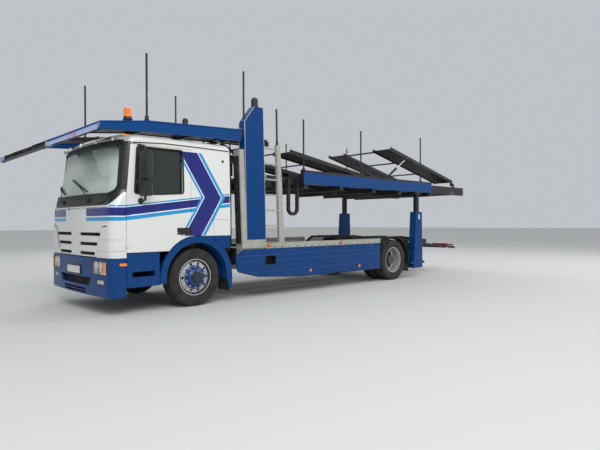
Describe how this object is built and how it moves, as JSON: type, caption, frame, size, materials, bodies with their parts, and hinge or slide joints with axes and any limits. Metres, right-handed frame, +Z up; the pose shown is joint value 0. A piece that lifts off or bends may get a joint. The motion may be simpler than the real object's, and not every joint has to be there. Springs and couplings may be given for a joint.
{
  "type": "car transporter truck",
  "caption": "Rigid car transporter truck: low sleeper cab, over-cab deck, tilting upper deck with platforms, lower deck and pull-out extensions.",
  "frame": {"origin": "on the ground at the middle of the overall length and width", "axes": "+X forward, +Y to the vehicle's left, +Z up"},
  "size_m": [11.135, 3.04, 4.04],
  "materials": {
    "frame": "satin",
    "tank": "brushed",
    "cab_white": "gloss",
    "glass": "clear",
    "black_plastic": "grained",
    "seat_cloth": "woven",
    "dash_plastic": "grained",
    "body_blue": "gloss",
    "lens": "clear",
    "red_lens": "gloss",
    "amber_lens": "gloss",
    "light_grey": "satin",
    "deck_black": "satin",
    "chrome_rod": "polished",
    "tyre": "rubber",
    "rim": "satin"
  },
  "bodies": {
    "chassis": {"frame": "frame", "tow_coupling": "frame", "drivetrain": "frame", "front_axle": "frame", "rear_axle": "frame", "tanks": "tank", "cab_shell": "cab_white", "windscreen": "glass", "seats": "seat_cloth", "dashboard": "dash_plastic", "bumper": "body_blue", "headlamps": "lens", "steps": "body_blue", "arches": "body_blue", "towers": "light_grey", "tower_covers": "body_blue", "ladders": "light_grey", "side_rails": "light_grey", "skirts": "body_blue", "lower_deck": "deck_black", "rear_posts": "body_blue", "mudguards": "black_plastic", "tail_lamps": "red_lens", "air_intake": "black_plastic"},
    "steering_wheel": {"steering_wheel": "dash_plastic"},
    "front_flap": {"front_flap": "cab_white"},
    "left_door": {"left_door": "cab_white", "left_door_glass": "glass", "left_mirror": "black_plastic"},
    "right_door": {"right_door": "cab_white", "right_door_glass": "glass", "right_mirror": "black_plastic"},
    "left_knuckle": {"left_knuckle": "frame"},
    "right_knuckle": {"right_knuckle": "frame"},
    "track_rod": {"track_rod": "frame"},
    "front_left_wheel": {"front_left_tyre": "tyre", "front_left_rim": "rim"},
    "front_right_wheel": {"front_right_tyre": "tyre", "front_right_rim": "rim"},
    "rear_left_wheels": {"rear_left_tyres": "tyre", "rear_left_rims": "rim"},
    "rear_right_wheels": {"rear_right_tyres": "tyre", "rear_right_rims": "rim"},
    "front_deck": {"front_deck": "body_blue", "front_deck_posts": "deck_black", "beacon": "amber_lens"},
    "nose_ram_barrels": {"nose_ram_barrels": "deck_black"},
    "nose_ram_rods": {"nose_ram_rods": "chrome_rod"},
    "main_deck": {"main_deck_beams": "body_blue", "main_deck_frame": "deck_black", "main_deck_tracks": "deck_black", "main_deck_posts": "deck_black", "cable_carrier": "deck_black"},
    "inner_posts": {"inner_posts": "deck_black"},
    "upper_extension": {"upper_extension": "deck_black"},
    "lower_extension": {"lower_extension": "deck_black"},
    "front_platform": {"front_platform": "deck_black"},
    "rear_platform": {"rear_platform": "deck_black"},
    "strut_barrels": {"strut_barrels": "deck_black"},
    "strut_rods": {"strut_rods": "chrome_rod"}
  },
  "joints": [
    {"name": "left_steer", "type": "hinge", "parent": "chassis", "child": "left_knuckle", "pos_m": [3.2825, 0.93, 0.475], "axis": [0, 0, 1], "range_deg": [-38, 38]},
    {"name": "right_steer", "type": "hinge", "parent": "chassis", "child": "right_knuckle", "pos_m": [3.2825, -0.93, 0.475], "axis": [0, 0, 1], "range_deg": [-38, 38]},
    {"name": "track_rod_turn", "type": "hinge", "parent": "left_knuckle", "child": "track_rod", "pos_m": [3.1125, 0.93, 0.332], "axis": [0, 0, 1], "range_deg": [-38, 38]},
    {"name": "column_turn", "type": "hinge", "parent": "chassis", "child": "steering_wheel", "pos_m": [4.0825, 0.575, 1.871], "axis": [-0.6591, 0, 0.752], "range_deg": [-684, 684]},
    {"name": "front_left_roll", "type": "hinge", "parent": "left_knuckle", "child": "front_left_wheel", "pos_m": [3.2825, 1.03, 0.475], "axis": [0, 1, 0], "continuous": true},
    {"name": "front_right_roll", "type": "hinge", "parent": "right_knuckle", "child": "front_right_wheel", "pos_m": [3.2825, -1.03, 0.475], "axis": [0, 1, 0], "continuous": true},
    {"name": "rear_left_roll", "type": "hinge", "parent": "chassis", "child": "rear_left_wheels", "pos_m": [-2.1175, 0.89, 0.475], "axis": [0, 1, 0], "continuous": true},
    {"name": "rear_right_roll", "type": "hinge", "parent": "chassis", "child": "rear_right_wheels", "pos_m": [-2.1175, -0.89, 0.475], "axis": [0, 1, 0], "continuous": true},
    {"name": "left_door_open", "type": "hinge", "parent": "chassis", "child": "left_door", "pos_m": [4.4955, 1.259, 1.7], "axis": [0, 0, -1], "range_deg": [0, 70]},
    {"name": "right_door_open", "type": "hinge", "parent": "chassis", "child": "right_door", "pos_m": [4.4955, -1.259, 1.7], "axis": [0, 0, 1], "range_deg": [0, 70]},
    {"name": "flap_open", "type": "hinge", "parent": "chassis", "child": "front_flap", "pos_m": [4.7845, 0, 1.595], "axis": [0, -1, 0], "range_deg": [0, 60]},
    {"name": "front_deck_tilt", "type": "hinge", "parent": "chassis", "child": "front_deck", "pos_m": [2.0325, 0, 2.83], "axis": [0, -1, 0], "range_deg": [0, 10]},
    {"name": "nose_ram_swing", "type": "hinge", "parent": "chassis", "child": "nose_ram_barrels", "pos_m": [2.4425, 0, 2.6], "axis": [0, -1, 0], "range_deg": [0, 15.5]},
    {"name": "nose_ram_stroke", "type": "slide", "parent": "nose_ram_barrels", "child": "nose_ram_rods", "axis": [0.908, 0, 0.4191], "range_m": [0, 0.08]},
    {"name": "main_deck_tilt", "type": "hinge", "parent": "chassis", "child": "main_deck", "pos_m": [1.7825, 0, 2.2], "axis": [0, 1, 0], "range_deg": [-4, 6]},
    {"name": "inner_post_lift", "type": "slide", "parent": "chassis", "child": "inner_posts", "axis": [0, 0, 1], "range_m": [-0.36, 0.53]},
    {"name": "upper_extend", "type": "slide", "parent": "main_deck", "child": "upper_extension", "axis": [1, 0, 0], "range_m": [0, 0.9]},
    {"name": "lower_extend", "type": "slide", "parent": "chassis", "child": "lower_extension", "axis": [0.9956, 0, 0.0936], "range_m": [0, 1]},
    {"name": "front_platform_tilt", "type": "hinge", "parent": "main_deck", "child": "front_platform", "pos_m": [-1.9175, 0, 2.3], "axis": [0, 1, 0], "range_deg": [0, 8.6]},
    {"name": "rear_platform_tilt", "type": "hinge", "parent": "upper_extension", "child": "rear_platform", "pos_m": [-5.1175, 0, 2.42], "axis": [0, 1, 0], "range_deg": [0, 10]},
    {"name": "strut_swing", "type": "hinge", "parent": "upper_extension", "child": "strut_barrels", "pos_m": [-1.9675, 0, 2.41], "axis": [0, -1, 0], "range_deg": [0, 30]},
    {"name": "strut_stroke", "type": "slide", "parent": "strut_barrels", "child": "strut_rods", "axis": [0.8374, 0, -0.5466], "range_m": [0, 0.19]}
  ],
  "couplings": [
    {"joint": "right_steer", "follows": "left_steer", "ratio": 1},
    {"joint": "track_rod_turn", "follows": "left_steer", "ratio": -1},
    {"joint": "column_turn", "follows": "left_steer", "ratio": 18},
    {"joint": "nose_ram_swing", "follows": "front_deck_tilt", "ratio": 1.508},
    {"joint": "nose_ram_stroke", "follows": "front_deck_tilt", "m_per_rad": 0.41},
    {"joint": "inner_post_lift", "follows": "main_deck_tilt", "m_per_rad": 4.876},
    {"joint": "strut_swing", "follows": "rear_platform_tilt", "ratio": 2.97},
    {"joint": "strut_stroke", "follows": "rear_platform_tilt", "m_per_rad": 1.04}
  ]
}
